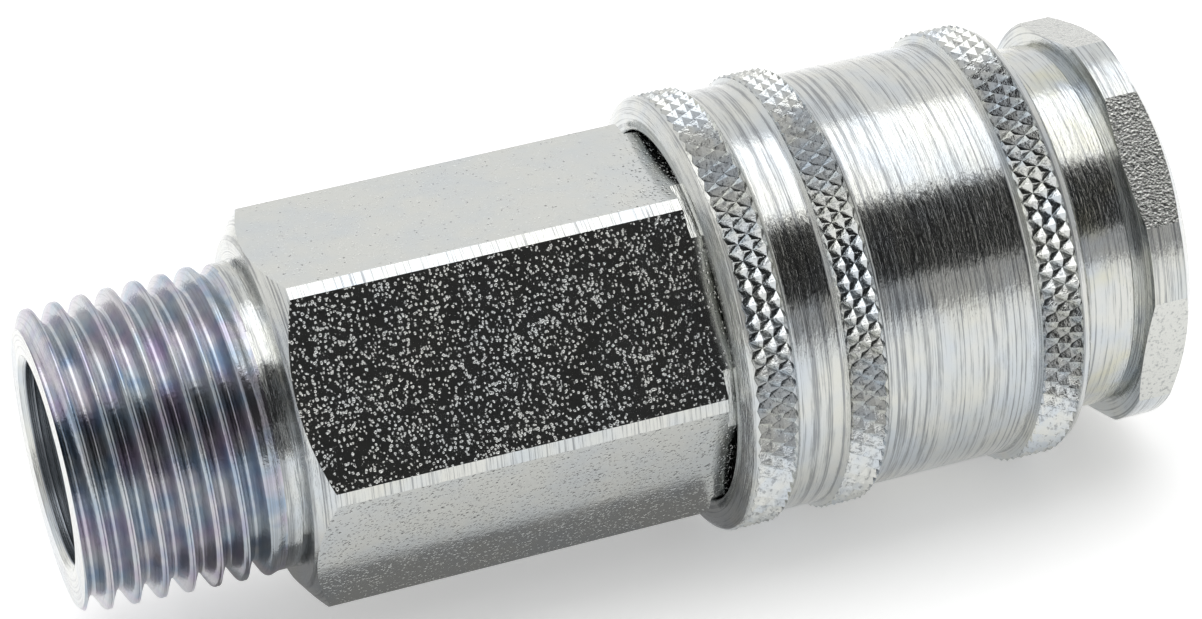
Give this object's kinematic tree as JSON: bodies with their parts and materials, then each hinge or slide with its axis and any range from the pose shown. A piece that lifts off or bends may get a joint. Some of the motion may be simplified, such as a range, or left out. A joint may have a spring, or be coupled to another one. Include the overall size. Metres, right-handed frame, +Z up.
{
  "type": "quick disconnect coupler",
  "caption": "Compressed-air quick disconnect coupler with a male taper pipe thread, long hexagon body, knurled sliding locking sleeve and hexagon nose.",
  "frame": {"origin": "centre of the male thread's end face, on the coupler's axis", "axes": "+X along the coupler's axis from the thread to the nose, +Z up, normal to a pair of the body hexagon's flats"},
  "size_m": [0.0767, 0.0304, 0.0305],
  "materials": {
    "zinc_plated_steel": "bright zinc plate with clear passivate, turned and cold-drawn",
    "spring_steel": "drawn wire and blanked strip",
    "bearing_steel": "polished",
    "turned_brass": "turned",
    "nitrile_rubber": "matt moulded"
  },
  "bodies": {
    "coupler_body": {"rear_body": "zinc_plated_steel", "barrel": "zinc_plated_steel", "nose_cap": "zinc_plated_steel", "spring_washer_rear": "spring_steel", "sleeve_spring": "spring_steel", "plug_seal": "nitrile_rubber", "body_seal": "nitrile_rubber", "nose_seal": "nitrile_rubber", "valve_guide": "turned_brass", "valve_spring": "spring_steel"},
    "sleeve": {"sleeve": "zinc_plated_steel", "spring_washer_front": "spring_steel"},
    "valve": {"valve_head": "turned_brass", "valve_tube": "turned_brass", "valve_seal": "nitrile_rubber"},
    "ball_1": {"locking_ball_1": "bearing_steel"},
    "ball_2": {"locking_ball_2": "bearing_steel"},
    "ball_3": {"locking_ball_3": "bearing_steel"},
    "ball_4": {"locking_ball_4": "bearing_steel"},
    "ball_5": {"locking_ball_5": "bearing_steel"},
    "ball_6": {"locking_ball_6": "bearing_steel"}
  },
  "joints": [
    {"name": "sleeve_slide", "type": "slide", "parent": "coupler_body", "child": "sleeve", "axis": [1, 0, 0], "range_m": [0, 0.0032], "stiffness_N_per_m": 2500, "deforming": ["sleeve_spring"]},
    {"name": "valve_slide", "type": "slide", "parent": "coupler_body", "child": "valve", "axis": [-1, 0, 0], "range_m": [0, 0.0038], "stiffness_N_per_m": 1200, "springref_m": -0.005, "deforming": ["valve_spring"]},
    {"name": "ball_slide_1", "type": "slide", "parent": "coupler_body", "child": "ball_1", "axis": [0, 0, -1], "range_m": [0, 0.0011]},
    {"name": "ball_slide_2", "type": "slide", "parent": "coupler_body", "child": "ball_2", "axis": [0, 0.866, -0.5], "range_m": [0, 0.0011]},
    {"name": "ball_slide_3", "type": "slide", "parent": "coupler_body", "child": "ball_3", "axis": [0, 0.866, 0.5], "range_m": [0, 0.0011]},
    {"name": "ball_slide_4", "type": "slide", "parent": "coupler_body", "child": "ball_4", "axis": [0, 0, 1], "range_m": [0, 0.0011]},
    {"name": "ball_slide_5", "type": "slide", "parent": "coupler_body", "child": "ball_5", "axis": [0, -0.866, 0.5], "range_m": [0, 0.0011]},
    {"name": "ball_slide_6", "type": "slide", "parent": "coupler_body", "child": "ball_6", "axis": [0, -0.866, -0.5], "range_m": [0, 0.0011]}
  ],
  "couplings": [
    {"joint": "ball_slide_1", "follows": "sleeve_slide", "ratio": 0.32812},
    {"joint": "ball_slide_2", "follows": "sleeve_slide", "ratio": 0.32812},
    {"joint": "ball_slide_3", "follows": "sleeve_slide", "ratio": 0.32812},
    {"joint": "ball_slide_4", "follows": "sleeve_slide", "ratio": 0.32812},
    {"joint": "ball_slide_5", "follows": "sleeve_slide", "ratio": 0.32812},
    {"joint": "ball_slide_6", "follows": "sleeve_slide", "ratio": 0.32812}
  ]
}
